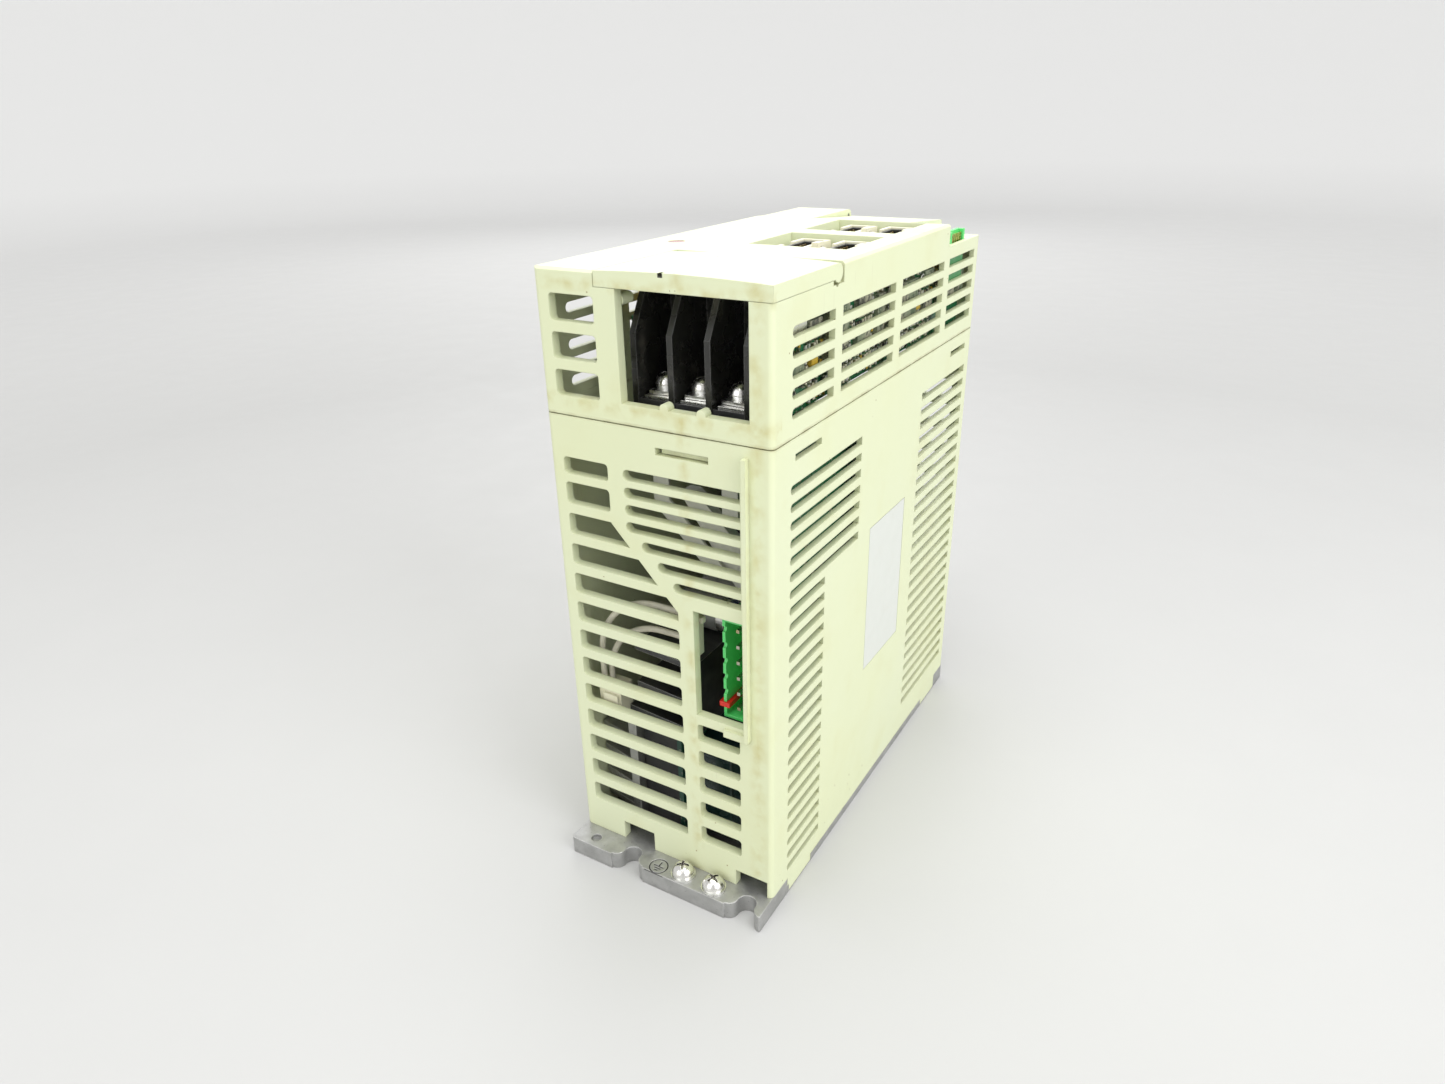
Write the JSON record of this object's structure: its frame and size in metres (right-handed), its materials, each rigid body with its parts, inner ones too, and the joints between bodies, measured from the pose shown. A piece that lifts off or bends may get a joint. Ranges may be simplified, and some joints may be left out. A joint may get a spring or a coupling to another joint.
{
  "type": "servo drive",
  "caption": "Panel-mount servo amplifier: louvred plastic case on a die-cast base, hinged terminal cover, barrier terminals, signal sockets.",
  "frame": {"origin": "middle of the mounting face, under the middle of the base's overall length and width", "axes": "+Z from the mounting face towards the front face, +X across the width towards the label, -Y towards the end with the power terminals"},
  "size_m": [0.07, 0.168, 0.1877],
  "materials": {
    "cast_base": "as cast, satin",
    "case_plastic": "fine matte, slightly yellowed",
    "steel_pin": "satin",
    "nickel_screw": "bright nickel plate",
    "plated_steel": "zinc plate",
    "tinned_pin": "tinned",
    "gold_pin": "gold flash",
    "black_plastic": "semi-gloss",
    "chip_black": "moulded epoxy",
    "capacitor_sleeve": "shrink sleeve",
    "blue_case": "shrink sleeve",
    "yellow_case": "moulded case and tape",
    "green_plastic": "moulded polyamide",
    "red_plastic": "moulded",
    "ivory_plastic": "moulded",
    "lead_sleeve": "soft insulation",
    "jumper_film": "film",
    "board_laminate": "solder mask",
    "dark_aluminium": "dark anodised",
    "resistor_body": "grey cement coat",
    "ferrite": "coated core",
    "copper_wire": "enamelled wire",
    "display_red": "tinted filter",
    "lamp_red": "tinted lens",
    "label_film": "blank printed film"
  },
  "bodies": {
    "drive_body": {"heatsink_base": "cast_base", "lower_housing": "case_plastic", "upper_housing": "case_plastic", "lid_pins": "steel_pin", "earth_screws": "nickel_screw", "te1_screws": "nickel_screw", "module_screws": "nickel_screw", "earth_washers": "plated_steel", "te1_washers": "plated_steel", "te1_plates": "plated_steel", "capacitor_clamps": "plated_steel", "te2_pins": "tinned_pin", "option_pins": "gold_pin", "pcb_standoffs": "gold_pin", "te1_block": "black_plastic", "connector_inserts": "black_plastic", "tact_switches": "black_plastic", "output_terminals": "black_plastic", "control_chips": "chip_black", "power_module": "chip_black", "rectifier_module": "chip_black", "current_sensors": "chip_black", "display_module": "chip_black", "inrush_relay": "chip_black", "main_capacitors": "capacitor_sleeve", "supply_capacitors": "blue_case", "switching_transformer": "yellow_case", "snubber_capacitors": "yellow_case", "te2_header": "green_plastic", "option_connector": "green_plastic", "te2_coding_key": "red_plastic", "connector_shells": "ivory_plastic", "lead_connector": "ivory_plastic", "resistor_leads": "lead_sleeve", "power_leads": "lead_sleeve", "jumper_straps": "jumper_film", "interface_pcb": "board_laminate", "control_pcb": "board_laminate", "supply_pcb": "board_laminate", "power_pcb": "board_laminate", "fin_stack": "dark_aluminium", "regulator_heatsink": "dark_aluminium", "brake_resistors": "resistor_body", "filter_choke": "ferrite", "choke_winding": "copper_wire", "display_filter": "display_red", "charge_lamp": "lamp_red", "rating_label": "label_film"},
    "terminal_cover": {"terminal_cover": "case_plastic"},
    "display_lid": {"display_lid": "case_plastic"},
    "mode_button": {"mode_button": "ivory_plastic"},
    "up_button": {"up_button": "ivory_plastic"},
    "down_button": {"down_button": "ivory_plastic"},
    "set_button": {"set_button": "ivory_plastic"}
  },
  "joints": [
    {"name": "cover_hinge", "type": "hinge", "parent": "drive_body", "child": "terminal_cover", "pos_m": [0, -0.0409, 0.1846], "axis": [-1, 0, 0], "range_deg": [0, 90]},
    {"name": "lid_hinge", "type": "hinge", "parent": "drive_body", "child": "display_lid", "pos_m": [-0.023, 0.072, 0.1848], "axis": [-1, 0, 0], "range_deg": [0, 105]},
    {"name": "mode_press", "type": "slide", "parent": "drive_body", "child": "mode_button", "axis": [0, 0, -1], "range_m": [0, 0.0006], "stiffness_N_per_m": 300},
    {"name": "up_press", "type": "slide", "parent": "drive_body", "child": "up_button", "axis": [0, 0, -1], "range_m": [0, 0.0006], "stiffness_N_per_m": 300},
    {"name": "down_press", "type": "slide", "parent": "drive_body", "child": "down_button", "axis": [0, 0, -1], "range_m": [0, 0.0006], "stiffness_N_per_m": 300},
    {"name": "set_press", "type": "slide", "parent": "drive_body", "child": "set_button", "axis": [0, 0, -1], "range_m": [0, 0.0006], "stiffness_N_per_m": 300}
  ]
}
